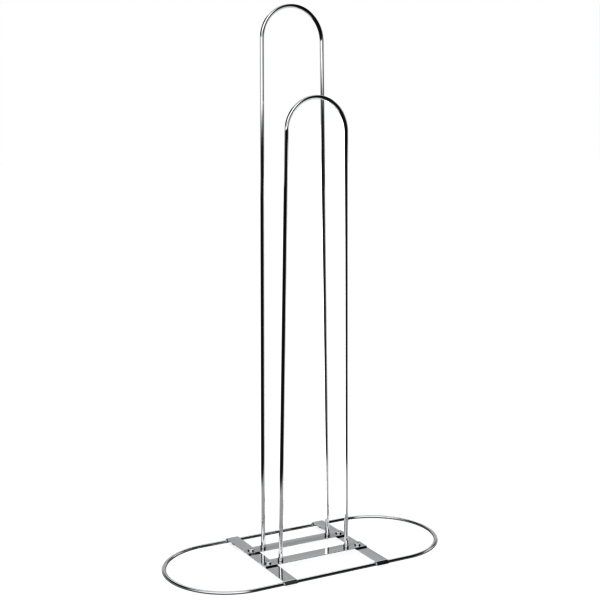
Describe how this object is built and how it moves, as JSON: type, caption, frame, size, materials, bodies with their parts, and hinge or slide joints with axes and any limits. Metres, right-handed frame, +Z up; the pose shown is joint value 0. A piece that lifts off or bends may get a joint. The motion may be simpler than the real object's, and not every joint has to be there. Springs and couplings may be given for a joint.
{
  "type": "hanger stacker",
  "caption": "Free-standing chrome wire stand: an oval base ring with flat rails carries one tall and one shorter upright loop that garment hangers are stacked over.",
  "frame": {"origin": "on the floor, under the centre of the oval base", "axes": "+X along the length of the base, +Y towards the tall loop at the rear, +Z up"},
  "size_m": [0.4884, 0.2196, 0.889],
  "materials": {
    "wire": "bright chrome plate on drawn round steel wire",
    "bar": "bright chrome plate on rolled flat steel bar, faint rolling lines along the bar",
    "screw": "polished chrome plate",
    "nut": "chrome plate over turned and machined faces"
  },
  "bodies": {
    "root": {"base_ring": "wire", "cross_strap_left": "bar", "cross_strap_right": "bar", "rail_rear": "bar", "rail_front": "bar", "loop_tall": "wire", "loop_short": "wire", "rail_screw_rear_left": "screw", "rail_screw_rear_right": "screw", "rail_screw_front_left": "screw", "rail_screw_front_right": "screw", "rail_nut_rear_left": "nut", "rail_nut_rear_right": "nut", "rail_nut_front_left": "nut", "rail_nut_front_right": "nut", "foot_collar_tall_left": "nut", "foot_collar_tall_right": "nut", "foot_collar_short_left": "nut", "foot_collar_short_right": "nut", "lower_nut_tall_left": "nut", "lower_nut_tall_right": "nut", "lower_nut_short_left": "nut", "lower_nut_short_right": "nut"}
  },
  "joints": []
}
